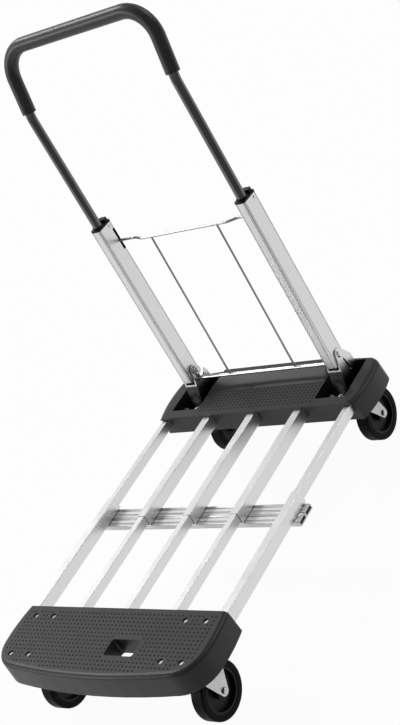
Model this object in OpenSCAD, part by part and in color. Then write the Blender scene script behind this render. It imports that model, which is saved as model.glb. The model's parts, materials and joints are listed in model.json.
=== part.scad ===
// Folding platform hand truck with a telescoping deck and a fold-down push handle.
// Lengths are in millimetres. Z is up, the floor is z = 0 and the handle end is at +Y.
// Inside the modules y = 0 is the rear edge of the front deck unit, with the deck pulled out.

/* [Deck] */
// Height of the deck's top faces above the floor
deck_h = 163.5; // [162:0.5:170]
// Travel of the front half of the deck when it is pushed in
deck_travel = 210; // [150:5:230]
// Clearance left behind the front unit at the end of that travel
end_gap = 12.2; // [8:0.1:15]
// Clearance left in front of the rear unit at the end of that travel
lip_gap = 6.3; // [4:0.1:10]
// Thickness of the moulded top plates
top_t = 4; // [3:0.5:5]
// Thickness of the moulded side walls
wall_t = 3.5; // [2.5:0.5:4]

/* [Front deck unit] */
// Depth of the front unit, front to back
front_depth = 148; // [142:1:165]
// Width of the front unit beyond the middles of its outer tubes
front_margin = 13.5; // [13:0.5:16]
// Swelling of the front unit's sides
front_bulge = 5.5; // [4:0.5:16]
// Distance of the widest place from the straight edge
front_belly_y = 55; // [45:1:65]
// Corner radius of the front unit, seen from above
front_corner_r = 60; // [50:1:75]
// Radius of the slightly bowed front edge
front_crown_r = 1300; // [900:50:2000]
// Height of the front unit's skirt
front_skirt_h = 46; // [42:1:50]
// Width of the hand slot
slot_w = 65; // [50:1:75]
// Depth of the hand slot, front to back
slot_d = 34; // [28:1:36]
// Distance of the hand slot's middle from the straight edge
slot_y = 83; // [80:1:88]

/* [Rear deck unit] */
// Depth of the rear unit, front to back
rear_depth = 135; // [133:1:142]
// Width of the rear unit beyond the middles of its outer tubes
rear_margin = 14; // [13.5:0.5:17]
// Swelling of the rear unit's sides
rear_bulge = 10.5; // [6:0.5:14]
// Distance of the widest place from the straight edge
rear_belly_y = 66; // [55:1:72]
// Corner radius of the rear unit, seen from above
rear_corner_r = 24; // [22:1:36]
// Radius of the slightly bowed rear edge
rear_crown_r = 2500; // [1500:100:4000]
// Height of the rear unit's skirt
rear_skirt_h = 45; // [42:1:50]
// Overhang of the lip along the rear unit's front edge
lip_d = 7; // [4:1:9]
// Thickness of that lip
lip_t = 5; // [4:0.5:7]
// Width of each hinge pocket
pocket_w = 68; // [68:0.5:69]
// Length of each hinge pocket
pocket_len = 100; // [98:1:102]
// Distance of the hinge pockets from the lip's edge
pocket_y = 20; // [18:1:22]
// Depth of the hinge pockets
pocket_depth = 30; // [29:0.5:31]
// Rise of the ridge along the back of the rear unit
ridge_h = 8; // [4:1:9]

/* [Tubes] */
// Spacing of the five deck tubes
tube_pitch = 110; // [109:0.5:110]
// Width of the larger tubes
tube_w = 17; // [15:0.5:17]
// Height of the larger tubes
tube_h = 25; // [22:0.5:26]
// Wall of the larger tubes
tube_wall = 1.4; // [1.2:0.1:1.8]
// Wall of the smaller tubes
inner_wall = 1.3; // [1:0.1:1.6]
// Sliding clearance over the smaller tubes and around their glides
slide_gap = 0.2; // [0.1:0.05:0.4]
// Space beside the smaller tubes in the larger ones
side_gap = 0.8; // [0.4:0.1:1.2]
// Space under the smaller tubes in the larger ones, taken up by pads
under_gap = 3.4; // [2:0.2:4]
// Outer corner radius of the larger tubes
tube_corner = 1.8; // [1:0.1:2.5]
// Depth of the larger tubes' top faces below the deck's top faces
tube_drop = 5; // [5:0.5:7]
// Length by which the smaller tubes stay inside the larger ones
tube_overlap = 64; // [50:1:70]

/* [Cross bars] */
// Width of each cross bar
bar_w = 22; // [18:0.5:24]
// Height of each cross bar
bar_h = 11; // [9:0.5:13]
// Wall of each cross bar
bar_wall = 1.3; // [1:0.1:1.6]
// Length of the cross bars beyond the middles of the outer tubes
bar_overhang = 15; // [13:0.5:20]
// Thickness of the flange on each cross bar's end cap
cap_t = 3; // [2:0.5:4]

/* [Wheels] */
// Wheel diameter
wheel_d = 100; // [90:1:102]
// Width of the tyre
tyre_w = 25; // [20:0.5:26]
// Radial thickness of the tyre
tyre_t = 11; // [8:0.5:13]
// Rounding of the tyre's tread edges
tyre_round = 3; // [2:0.5:5]
// Radius of the hub's boss
boss_r = 14; // [11:0.5:18]
// Thickness of the hub's web
web_t = 8; // [5:0.5:12]
// Diameter of the axles
axle_d = 8; // [6:0.5:9]

/* [Casters] */
// Distance of the caster's mounting face above the floor
caster_h = 129.5; // [128:0.5:130]
// Thickness of the caster plates
plate_t = 3; // [2.5:0.5:3.5]
// Thickness of the pressed fork legs
leg_t = 2.5; // [2:0.5:3]
// Clearance between the hub and the fork legs
leg_gap = 0.5; // [0.3:0.1:0.8]
// Half spacing of the front casters
front_caster_x = 176.5; // [175:0.5:178]
// Distance of the front casters' plates from the straight edge
front_caster_y = 63.7; // [62:0.1:66]
// Distance of the front axles ahead of the middle of their plates
front_axle_shift = 4; // [0:0.5:6]
// Bolt pattern of the front casters, across
front_bolt_x = 44; // [42:0.5:46]
// Bolt pattern of the front casters, along
front_bolt_y = 84.6; // [80:0.2:88]
// Half spacing of the rear casters
rear_caster_x = 179; // [178:0.5:179]
// Distance of the swivel axes from the rear unit's lip
rear_caster_y = 72; // [70:1:74]
// Bolt pattern of the rear casters, across and along
rear_bolt = 49; // [48.5:0.5:49]
// Trail of the swivel casters
trail = 28; // [24:0.5:34]
// Diameter of the kingpins
kingpin_d = 12; // [10:0.5:13]
// Radius of the swivel bearing
race_r = 26; // [24:0.5:27]
// Diameter of the bearing balls
ball_d = 6; // [5:0.5:6]
// Number of balls in each swivel bearing
ball_count = 14; // [10:1:16]

/* [Hinge] */
// Half spacing of the handle's two sleeves
sleeve_x = 175; // [174:0.5:176]
// Distance of the hinge axis from the rear unit's lip
pivot_y = 86.5; // [85:0.1:88]
// Height of the hinge axis above the deck
pivot_rise = 45; // [44:0.5:50]
// Diameter of the pivot bolts
pivot_d = 10; // [8:0.5:10]
// Distance of the hinge axis behind the push handle's tube
pivot_back = 8.7; // [8:0.1:9.5]
// Thickness of the hinge brackets
bracket_t = 2.5; // [2:0.5:3]
// Side clearance between the sleeves and the bracket cheeks
cheek_gap = 0.5; // [0.3:0.1:0.6]
// Length of the spacer between each sleeve and the inner cheek
spacer = 1.2; // [0.8:0.1:1.2]
// Diameter of the release bar
release_d = 7; // [6:0.5:7]
// Distance of the release bar behind the push handle's tube
bar_back = 7.2; // [7:0.1:8]
// Distance of the release bar below the hinge axis
bar_down = 19.1; // [19:0.1:20]
// Travel of the release bar
release_travel = 6; // [4:0.5:6]

/* [Handle] */
// Backward lean of the handle in degrees
lean = 2.75; // [2:0.25:4]
// Width of the sleeves, across
sleeve_w = 21.5; // [21.5:0.5:22.5]
// Depth of the sleeves, front to back
sleeve_d = 39.2; // [38:0.2:41]
// Distance of the push handle's tube ahead of the sleeves' middle
tube_ahead = 6.3; // [5.5:0.1:6.5]
// Wall of the sleeves
sleeve_wall = 1.2; // [1:0.1:1.4]
// Length of the sleeves
sleeve_len = 360.5; // [345:0.5:380]
// Length of sleeve below the hinge axis
sleeve_below = 16; // [15:0.5:17]
// Diameter of the push handle's tube
tube_d = 18; // [15:0.5:18]
// Wall of the push handle's tube
handle_wall = 1.2; // [1:0.1:1.6]
// Distance of the push handle's bend from the hinge axis
bend_s = 585.5; // [570:0.5:620]
// Angle of that bend in degrees
bend_angle = 10.3; // [5:0.1:15]
// Distance from the bend to the middle of the top bar
top_len = 130; // [115:1:150]
// Corner radius of the push handle
corner_r = 56; // [45:1:70]
// Length of tube that stays inside the sleeves
insert_len = 64; // [50:1:70]
// Travel of the push handle into the sleeves
handle_travel = 220; // [180:5:220]
// Diameter of the foam grip
grip_d = 26; // [23:0.5:28]
// Distance of the foam grip's lower ends from the bend
grip_start = 12; // [8:1:25]

/* [Wire grid] */
// Diameter of the grid's top wire
top_wire_d = 5; // [4:0.5:5]
// Diameter of the grid's upright wires
wire_d = 4; // [3:0.5:5]
// Half spacing of the upright wires
wire_x = 79.5; // [60:0.5:90]
// Distance of the top wire's ends from the hinge axis
wire_s = 302; // [290:0.5:304]
// Offset of the top wire's ends behind the push handle's tube
wire_back = 21; // [20:0.1:21]
// Step of the top wire between its cranked ends
wire_drop = 7.7; // [4:0.1:14]
// Angle of that step, forward from straight down
step_tilt = 87; // [30:1:90]

/* [Hidden] */
$fn = 48;
eps = 0.01;

black = [0.13, 0.13, 0.14];
rubber = [0.10, 0.10, 0.11];
aluminium = [0.82, 0.83, 0.84];
zinc = [0.72, 0.73, 0.75];
chrome = [0.45, 0.46, 0.48];

// Clearances: fit is the running clearance of pins and bolts, seat the gap around a held piece
fit = 0.05;
seat = 0.3;

// Places that follow from the sizes above
bar_gap = 0.4;
bar_y = deck_travel + end_gap;
front_bar_y = bar_y + bar_w + bar_gap;
rear_y = front_bar_y + bar_w + deck_travel + lip_gap;
bar_len = 4 * tube_pitch + 2 * bar_overhang;
front_base_half = 2 * tube_pitch + front_margin;
front_belly_half = front_base_half + front_bulge;
rear_base_half = 2 * tube_pitch + rear_margin;
rear_belly_half = rear_base_half + rear_bulge;
pivot = [rear_y + pivot_y, deck_h + pivot_rise];
tube_top = deck_h - tube_drop;
tube_z = tube_top - tube_h / 2;
tube_bottom = tube_top - tube_h;
cavity_w = tube_w - 2 * tube_wall;
cavity_h = tube_h - 2 * tube_wall;
small_w = cavity_w - 2 * side_gap;
small_h = cavity_h - slide_gap - under_gap;
small_z = tube_top - tube_wall - slide_gap - small_h / 2;
tube_inset = 28;
outer_end = front_bar_y + bar_w + 4;
front_tube_end = -front_depth + tube_inset;
front_outer_end = -front_depth + front_corner_r + 8;
rear_tube_end = rear_y + rear_depth - 20;
axle_z = wheel_d / 2;
hub_w = tyre_w + 3;
leg_in = hub_w / 2 + leg_gap;
leg_out = leg_in + leg_t;
front_axle_y = -front_caster_y - front_axle_shift;
rear_pin_y = rear_y + rear_caster_y;
sleeve_top = sleeve_len - sleeve_below;
bore_w = sleeve_w - 2 * sleeve_wall;
bore_d = sleeve_d - 2 * sleeve_wall;
leg_end = sleeve_top - insert_len;
handle_glide_h = 18;
handle_y = pivot[0] - pivot_back * cos(lean) + bend_s * sin(lean) + top_len * sin(lean + bend_angle);
// The middle of the whole object, front to back, which becomes y = 0
mid_y = (handle_y + grip_d / 2 - front_depth) / 2;

module at_origin() translate([0, -mid_y, 0]) children();

// Mirrors what is drawn for the right side to the left when side is -1
module sided(side) mirror([side < 0 ? 1 : 0, 0, 0]) children();

// Frame of the handle: z runs up the push handle's tubes, y behind them, and z = 0 at the hinge
module handle_frame() {
    at_origin() translate([0, pivot[0], pivot[1]]) rotate([-lean, 0, 0]) translate([0, -pivot_back, 0]) children();
}

// Box centred in x, from y0 to y1 and from z0 to z1
module slab(x, w, y0, y1, z0, z1) translate([x - w / 2, y0, z0]) cube([w, y1 - y0, z1 - z0]);

// Flat outline round convex corner circles [y, z, r], listed anticlockwise
module rounded(corners) {
    n = len(corners);
    polygon([for (i = [0:n - 1]) let (
        a = corners[i],
        b = corners[(i + 1) % n],
        v = [b[0] - a[0], b[1] - a[1]],
        l = norm(v),
        d = v / l,
        s = (a[2] - b[2]) / l,
        c = sqrt(1 - s * s),
        m = [d[1] * c + d[0] * s, -d[0] * c + d[1] * s])
        each [[a[0] + a[2] * m[0], a[1] + a[2] * m[1]], [b[0] + b[2] * m[0], b[1] + b[2] * m[1]]]]);
    for (p = corners) translate([p[0], p[1]]) circle(p[2]);
}

// Stands a flat (y, z) outline up as a plate from x0 to x1
module upright(x0, x1) translate([x0, 0, 0]) rotate([90, 0, 90]) linear_extrude(x1 - x0) children();

// Rectangle with rounded corners, centred
module soft_rect(w, h, r) {
    square([w - 2 * r, h], center = true);
    square([w, h - 2 * r], center = true);
    for (x = [-1, 1], y = [-1, 1]) translate([x * (w / 2 - r), y * (h / 2 - r)]) circle(r);
}

module hexagon(flats) circle(flats / sqrt(3), $fn = 6);

// Points of an arc about c, without its first point
function arc(c, r, a0, a1, n) = [for (i = [1:n]) c + r * [cos(a0 + (a1 - a0) * i / n), sin(a0 + (a1 - a0) * i / n)]];

// The crossing with the larger x of two circles
function crossing(c1, r1, c2, r2) = let (
    v = c2 - c1,
    l = norm(v),
    u = v / l,
    a = (l * l + r1 * r1 - r2 * r2) / (2 * l),
    h = sqrt(r1 * r1 - a * a)) c1 + a * u + h * [-u[1], u[0]];

// Plan of a deck unit: [base half width, belly half width, belly y, depth, corner radius, crown radius].
// The base is straight at y = 0, and the sides, corners and far edge are tangent arcs.
front_plan = [front_base_half, front_belly_half, front_belly_y, front_depth, front_corner_r, front_crown_r];
rear_plan = [rear_base_half, rear_belly_half, rear_belly_y, rear_depth, rear_corner_r, rear_crown_r];

// One ring of that plan, moved inward by inset, with its base at y = base
function plan_ring(plan, inset, base, z) = let (
    bulge = plan[1] - plan[0],
    r1 = (plan[2] * plan[2] + bulge * bulge) / (2 * bulge),
    c1 = [plan[1] - r1, plan[2]],
    c3 = [0, plan[3] - plan[5]],
    c2 = crossing(c1, r1 - plan[4], c3, plan[5] - plan[4]),
    a0 = asin((base - c1[1]) / (r1 - inset)),
    a1 = atan2(c2[1] - c1[1], c2[0] - c1[0]),
    a2 = atan2(c2[1] - c3[1], c2[0] - c3[0]),
    half = concat([c1 + (r1 - inset) * [cos(a0), sin(a0)]], arc(c1, r1 - inset, a0, a1, 9),
        arc(c2, plan[4] - inset, a1, a2, 10), arc(c3, plan[5] - inset, a2, 90, 5)),
    n = len(half))
    concat([for (p = half) [p[0], p[1], z]], [for (i = [n - 2:-1:0]) [-half[i][0], half[i][1], z]]);

// Skin over a list of rings, lowest first
module loft(rings) {
    n = len(rings[0]);
    m = len(rings);
    sides = [for (i = [0:m - 2], j = [0:n - 1]) let (a = i * n + j, b = i * n + (j + 1) % n)
        each [[a, a + n, b + n], [a, b + n, b]]];
    polyhedron([for (r = rings) each r],
        concat([[for (j = [0:n - 1]) j]], sides, [[for (j = [n - 1:-1:0]) (m - 1) * n + j]]), convexity = 8);
}

// The same plan made deeper by more
function deeper(plan, more) = [plan[0], plan[1], plan[2], plan[3] + more, plan[4], plan[5]];

// Outer body of a deck unit: drafted walls and a softly rounded upper edge, which takes only
// the share far of its width at the far edge
module unit_body(plan, skirt, draft, edge_w, edge_h, far = 1) {
    steps = 7;
    loft(concat([plan_ring(plan, 0, 0, deck_h - skirt)],
        [for (k = [0:steps]) let (in = edge_w * (1 - cos(90 * k / steps)))
            plan_ring(deeper(plan, (1 - far) * in), draft + in, 0, deck_h - edge_h * (1 - sin(90 * k / steps)))]));
}

// Space under a deck unit, open at the bottom
module unit_hollow(plan, skirt, draft, edge_w, edge_h, base) {
    loft([plan_ring(plan, wall_t, base, deck_h - skirt - 1),
        plan_ring(plan, wall_t + draft, base, deck_h - edge_h - 1),
        plan_ring(plan, wall_t + draft + 0.8 * edge_w, base, deck_h - top_t)]);
}

// Deck tubes

module tube_outline(w, h, wall, r) {
    difference() {
        soft_rect(w, h, r);
        soft_rect(w - 2 * wall, h - 2 * wall, max(r - wall, 0.4));
    }
}

module screw_hole(x, y) translate([x, y, tube_bottom - 1]) cylinder(d = screw_d + 2 * fit, h = tube_h + 2);

// Larger tube along y, with the holes for its fixing screw and for the rivet of its cross bar
module large_tube(x, y0, y1, screw_y, rivet_y) {
    color(aluminium) at_origin() difference() {
        translate([x, y1, tube_z]) rotate([90, 0, 0])
            linear_extrude(y1 - y0) tube_outline(tube_w, tube_h, tube_wall, tube_corner);
        screw_hole(x, screw_y);
        translate([x, rivet_y, tube_bottom - 1]) cylinder(d = bar_rivet_d + 2 * fit, h = tube_wall + 2);
    }
}

// Smaller tube along y, which slides in a larger one
module small_tube(x, y0, y1, screw_y) {
    color(aluminium) at_origin() difference() {
        translate([x, y1, small_z]) rotate([90, 0, 0])
            linear_extrude(y1 - y0) tube_outline(small_w, small_h, inner_wall, small_corner);
        screw_hole(x, screw_y);
    }
}

small_corner = 1.2;
screw_d = 4;
rear_screw_y = rear_y + 66;
front_screw_y = -60;
front_small_end = bar_y + tube_overlap;
rear_small_end = outer_end - tube_overlap;

module rear_left_tube() large_tube(-tube_pitch, bar_y, rear_tube_end, rear_screw_y, bar_y + bar_w / 2);
module rear_centre_tube() large_tube(0, bar_y, rear_tube_end, rear_screw_y, bar_y + bar_w / 2);
module rear_right_tube() large_tube(tube_pitch, bar_y, rear_tube_end, rear_screw_y, bar_y + bar_w / 2);
module rear_outer_left_tube() small_tube(-2 * tube_pitch, rear_small_end, rear_tube_end, rear_screw_y);
module rear_outer_right_tube() small_tube(2 * tube_pitch, rear_small_end, rear_tube_end, rear_screw_y);
module front_outer_left_tube() {
    large_tube(-2 * tube_pitch, front_outer_end, outer_end, front_screw_y, front_bar_y + bar_w / 2);
}

module front_outer_right_tube() {
    large_tube(2 * tube_pitch, front_outer_end, outer_end, front_screw_y, front_bar_y + bar_w / 2);
}

module front_left_tube() small_tube(-tube_pitch, front_tube_end, front_small_end, front_screw_y);
module front_centre_tube() small_tube(0, front_tube_end, front_small_end, front_screw_y);
module front_right_tube() small_tube(tube_pitch, front_tube_end, front_small_end, front_screw_y);

// Plastic glide on the sliding end of a smaller tube: a flange and a spigot inside the tube
module glide(x, y, away) {
    translate([x, y, tube_z]) rotate([away > 0 ? -90 : 90, 0, 0])
        linear_extrude(glide_t) soft_rect(cavity_w - slide_gap, cavity_h - slide_gap, small_corner);
    translate([x, y, small_z]) rotate([away > 0 ? 90 : -90, 0, 0]) translate([0, 0, -eps])
        linear_extrude(spigot_l + eps)
            soft_rect(small_w - 2 * inner_wall - 2 * fit, small_h - 2 * inner_wall - 2 * fit, 0.4);
}

// Pad in the mouth of a larger tube, under the smaller one
module mouth_pad(x, y0, y1) {
    slab(x, cavity_w - 2 * seat, y0, y1, tube_bottom + tube_wall, small_z - small_h / 2 - slide_gap / 2);
}

glide_t = 4;
spigot_l = 14;
pad_l = 24;

module front_tube_glides() {
    color(black) at_origin() {
        for (x = [-1, 0, 1]) glide(x * tube_pitch, front_small_end, 1);
        for (x = [-2, 2]) mouth_pad(x * tube_pitch, outer_end - pad_l, outer_end - 1);
    }
}

module rear_tube_glides() {
    color(black) at_origin() {
        for (x = [-2, 2]) glide(x * tube_pitch, rear_small_end, -1);
        for (x = [-1, 0, 1]) mouth_pad(x * tube_pitch, bar_y + 1, bar_y + pad_l);
    }
}

// Cross bars under the tubes, each fixed to its own half of the deck

bar_corner = 1;
bar_rivet_d = 5;
bar_rivet_head = 9;
bar_rivet_t = 1.6;
cap_spigot = 9;

module cross_bar(y, tubes) {
    color(aluminium) at_origin() difference() {
        translate([-bar_len / 2, y + bar_w / 2, tube_bottom - bar_h / 2]) rotate([90, 0, 90])
            linear_extrude(bar_len) tube_outline(bar_w, bar_h, bar_wall, bar_corner);
        for (x = tubes) {
            translate([x * tube_pitch, y + bar_w / 2, tube_bottom - bar_wall - 1])
                cylinder(d = bar_rivet_d + 2 * fit, h = bar_wall + 2);
            translate([x * tube_pitch, y + bar_w / 2, tube_bottom - bar_h - 1])
                cylinder(d = bar_rivet_head + 2, h = bar_wall + 2);
        }
    }
}

// Rivet from inside the bar up through the tube's lower wall, flush inside the tube
module bar_rivet(x, y) {
    translate([x, y, tube_bottom - bar_wall]) cylinder(d = bar_rivet_d, h = bar_wall + tube_wall - 0.1);
    translate([x, y, tube_bottom - bar_wall - bar_rivet_t]) cylinder(d = bar_rivet_head, h = bar_rivet_t);
}

module bar_caps(y) {
    color(black) at_origin() for (s = [-1, 1]) sided(s)
        translate([bar_len / 2, y + bar_w / 2, tube_bottom - bar_h / 2]) rotate([90, 0, 90]) {
            linear_extrude(cap_t) soft_rect(bar_w, bar_h, bar_corner + 1);
            translate([0, 0, -cap_spigot]) linear_extrude(cap_spigot + eps)
                soft_rect(bar_w - 2 * bar_wall - 2 * fit, bar_h - 2 * bar_wall - 2 * fit, 0.4);
        }
}

module rear_cross_bar() cross_bar(bar_y, [-1, 0, 1]);
module rear_cross_bar_caps() bar_caps(bar_y);
module rear_cross_bar_rivets() {
    color(zinc) at_origin() for (x = [-1, 0, 1]) bar_rivet(x * tube_pitch, bar_y + bar_w / 2);
}

module front_cross_bar() cross_bar(front_bar_y, [-2, 2]);
module front_cross_bar_caps() bar_caps(front_bar_y);
module front_cross_bar_rivets() {
    color(zinc) at_origin() for (x = [-2, 2]) bar_rivet(x * tube_pitch, front_bar_y + bar_w / 2);
}

// Front deck unit

front_draft = 2;
front_edge_w = 9;
front_edge_h = 8;
rib_t = 3;
front_ribs = [40, 112];
front_boss_d = 13;
front_screw_d = 5;
head_d = 10;
head_t = 2.5;
head_sink = 3;
slot_x = tube_pitch / 2;
slot_wall = 2.5;
front_caster_points = [for (s = [-1, 1], x = [-1, 1], y = [-1, 1])
    [s * front_caster_x + x * front_bolt_x / 2, front_caster_y + y * front_bolt_y / 2]];

module tube_windows(tubes, y0, y1, w, h, z) {
    for (x = tubes) slab(x * tube_pitch, w + 2 * seat, y0, y1, z - h / 2 - seat, z + h / 2 + seat);
}

module slot_cut(grow, z0, z1) {
    translate([slot_x, slot_y, z0]) linear_extrude(z1 - z0)
        soft_rect(slot_w + 2 * grow, slot_d + 2 * grow, 5 + grow);
}

module front_housing() {
    plan = front_plan;
    bottom = deck_h - front_skirt_h;
    color(black) at_origin() mirror([0, 1, 0]) difference() {
        unit_body(plan, front_skirt_h, front_draft, front_edge_w, front_edge_h);
        difference() {
            unit_hollow(plan, front_skirt_h, front_draft, front_edge_w, front_edge_h, wall_t);
            for (y = front_ribs) slab(0, 2 * front_belly_half, y - rib_t / 2, y + rib_t / 2, caster_h, deck_h);
            for (p = front_caster_points)
                translate([p[0], p[1], caster_h]) cylinder(d = front_boss_d, h = deck_h - caster_h);
            slot_cut(slot_wall, caster_h, deck_h);
        }
        slot_cut(0, bottom - 1, deck_h + 1);
        tube_windows([-2, 2], -1, -front_outer_end + seat, tube_w, tube_h, tube_z);
        tube_windows([-1, 0, 1], -1, -front_tube_end + seat, small_w, small_h, small_z);
        for (x = [-2:2]) translate([x * tube_pitch, -front_screw_y, deck_h - top_t - 1])
            cylinder(d = screw_d + 2 * fit, h = top_t);
        for (p = front_caster_points) translate([p[0], p[1], 0]) {
            translate([0, 0, caster_h - 1]) cylinder(d = front_screw_d + 2 * fit, h = deck_h);
            translate([0, 0, deck_h - head_sink - head_t]) cylinder(d = head_d + 1, h = deck_h);
        }
    }
}

// Countersunk-looking machine screws that hold the front casters from above
module front_caster_screws() {
    length = deck_h - head_sink - head_t - (caster_h - plate_t) + 8;
    color(zinc) at_origin() for (p = front_caster_points)
        translate([p[0], -p[1], deck_h - head_sink - head_t]) {
            cylinder(d = head_d, h = head_t);
            translate([0, 0, -length]) cylinder(d = front_screw_d, h = length + eps);
        }
}

nut_flats = 8;
nut_t = 5;

module front_caster_nuts() {
    color(zinc) at_origin() for (p = front_caster_points)
        translate([p[0], -p[1], caster_h - plate_t - nut_t]) difference() {
            linear_extrude(nut_t) hexagon(nut_flats);
            translate([0, 0, -1]) cylinder(d = front_screw_d + 2 * fit, h = nut_t + 2);
        }
}

tube_head_d = 8;
tube_head_t = 2.4;

// Screws that run up through the tubes, from their undersides, into the top plate
module tube_screw(x, y, under) translate([x, y, under - tube_head_t]) {
    cylinder(d = tube_head_d, h = tube_head_t);
    cylinder(d = screw_d, h = deck_h - 2 - under + tube_head_t);
}

small_bottom = small_z - small_h / 2;

module front_tube_screws() {
    color(zinc) at_origin() for (x = [-2:2])
        tube_screw(x * tube_pitch, front_screw_y, abs(x) == 2 ? tube_bottom : small_bottom);
}

module rear_tube_screws() {
    color(zinc) at_origin() for (x = [-2:2])
        tube_screw(x * tube_pitch, rear_screw_y, abs(x) == 2 ? small_bottom : tube_bottom);
}

// Rear deck unit

rear_draft = 2;
rear_edge_w = 13;
rear_edge_h = 8;
rear_far_edge = 0.1;
ridge_root = 15;
pocket_wall = 2.8;
pocket_floor = deck_h - pocket_depth;
rear_ribs = [34, 92];
rear_bolt_d = 6;
rear_caster_points = [for (s = [-1, 1], x = [-1, 1], y = [-1, 1])
    [s * rear_caster_x + x * rear_bolt / 2, rear_y + rear_caster_y + y * rear_bolt / 2]];

module pocket_cut(grow, z0) {
    for (s = [-1, 1]) translate([s * sleeve_x, pocket_y + pocket_len / 2, z0]) linear_extrude(deck_h + 1 - z0)
        soft_rect(pocket_w + 2 * grow, pocket_len + 2 * grow, 4 + grow);
}

// Ridge along the back between the pockets, a low ramp with chamfered ends
module ridge() {
    half = sleeve_x - pocket_w / 2 - 4;
    y0 = rear_depth - 67;
    y1 = rear_depth - 9;
    intersection() {
        upright(-half, half)
            polygon([[y0, deck_h - ridge_root], [y0, deck_h], [y1 - 22, deck_h + ridge_h],
                [y1 - 3, deck_h + ridge_h], [y1, deck_h + ridge_h - 3], [y1, deck_h - ridge_root]]);
        translate([0, rear_depth, 0]) rotate([90, 0, 0]) linear_extrude(rear_depth)
            polygon([[-half, deck_h - ridge_root], [half, deck_h - ridge_root], [half, deck_h + 1],
                [half - 9, deck_h + ridge_h], [-half + 9, deck_h + ridge_h], [-half, deck_h + 1]]);
    }
}

module rear_housing() {
    plan = rear_plan;
    bottom = deck_h - rear_skirt_h;
    color(black) at_origin() translate([0, rear_y, 0]) difference() {
        union() {
            unit_body(plan, rear_skirt_h, rear_draft, rear_edge_w, rear_edge_h, rear_far_edge);
            ridge();
        }
        difference() {
            unit_hollow(plan, rear_skirt_h, rear_draft, rear_edge_w, rear_edge_h, lip_d + wall_t);
            for (y = rear_ribs) slab(0, 2 * rear_belly_half, y - rib_t / 2, y + rib_t / 2, caster_h, deck_h);
            pocket_cut(pocket_wall, caster_h);
        }
        pocket_cut(0, pocket_floor);
        slab(0, 2 * rear_belly_half, -1, lip_d, bottom - 1, deck_h - lip_t);
        tube_windows([-2, 2], 0, rear_tube_end - rear_y + seat, small_w, small_h, small_z);
        tube_windows([-1, 0, 1], 0, rear_tube_end - rear_y + seat, tube_w, tube_h, tube_z);
        for (x = [-2:2]) translate([x * tube_pitch, rear_screw_y - rear_y, deck_h - top_t - 1])
            cylinder(d = screw_d + 2 * fit, h = top_t);
        for (p = rear_caster_points) translate([p[0], p[1] - rear_y, caster_h - 1])
            cylinder(d = rear_bolt_d + 2 * fit, h = pocket_floor - caster_h + 2);
    }
}

// Hinge brackets: a base in the pocket, a slanted front web and two cheeks beside the sleeve

cheek_in = sleeve_w / 2 + cheek_gap;
cheek_out = cheek_in + bracket_t;
inner_in = cheek_in + spacer;
inner_out = inner_in + bracket_t;
pivot_boss = 11;
web_top = pivot[1] - 23.5;
base_top = pocket_floor + bracket_t;
boss_wall = 3;
cheek_slot_w = 4;
cheek_slot_l = 26;
// The release bar's distances from the hinge axis, lowered and lifted
bar_far = norm([bar_back - pivot_back, bar_down]);
bar_near = norm([bar_back - pivot_back, bar_down - release_travel]);

// Side view of a cheek, in y and z
module cheek_outline() {
    rounded([[pivot[0] - 32, pocket_floor + 2, 2], [pivot[0] + 22, pocket_floor + 2, 2],
        [pivot[0] + 21, pivot[1] - 24, 6], [pivot[0], pivot[1], pivot_boss]]);
}

// Slot in the outer cheek, below the hinge axis
module cheek_slot() {
    translate(pivot) rotate(10) translate([-1.5, -16 - cheek_slot_l]) {
        square([cheek_slot_w, cheek_slot_l]);
        for (z = [0, cheek_slot_l]) translate([cheek_slot_w / 2, z]) circle(cheek_slot_w / 2);
    }
}

// Space that the release bar sweeps as the handle folds
module bar_sweep_outline() {
    reach = bar_far + release_d;
    translate(pivot) difference() {
        circle(reach);
        circle(bar_near - release_d / 2 - 0.8);
        rotate(-lean) translate([-2 * reach, -2 * reach])
            square([2 * reach + bar_back - pivot_back - release_d / 2 - 0.8, 4 * reach]);
        translate([-reach, release_d]) square(2 * reach);
    }
}

module hinge_bracket(side) {
    color(zinc) at_origin() sided(side) difference() {
        union() {
            slab((sleeve_x + rear_caster_x) / 2, rear_bolt + 14, pocket_y + rear_y + 6,
                pocket_y + rear_y + pocket_len - 3, pocket_floor, base_top);
            upright(sleeve_x - inner_out, sleeve_x + cheek_out) intersection() {
                difference() {
                    cheek_outline();
                    translate([bracket_t, 0]) cheek_outline();
                }
                translate([pivot[0] - 50, pocket_floor]) square([50, web_top - pocket_floor]);
            }
            upright(sleeve_x + cheek_in, sleeve_x + cheek_out) difference() {
                cheek_outline();
                cheek_slot();
            }
            upright(sleeve_x - inner_out, sleeve_x - inner_in) difference() {
                cheek_outline();
                bar_sweep_outline();
            }
            translate([sleeve_x - inner_in - eps, pivot[0], pivot[1]]) rotate([0, 90, 0])
                cylinder(d = pivot_d + 2 * boss_wall, h = spacer + eps);
        }
        translate([sleeve_x, pivot[0], pivot[1]]) rotate([0, 90, 0])
            cylinder(d = pivot_d + 2 * fit, h = 3 * inner_out, center = true);
        for (x = [-1, 1], y = [-1, 1])
            translate([rear_caster_x + x * rear_bolt / 2, rear_pin_y + y * rear_bolt / 2, pocket_floor - 1])
                cylinder(d = rear_bolt_d + 2 * fit, h = bracket_t + 2);
    }
}

module left_hinge_bracket() hinge_bracket(-1);
module right_hinge_bracket() hinge_bracket(1);

pivot_head_t = 3;
pivot_nut_t = 7;
pivot_tail = 4;

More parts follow.
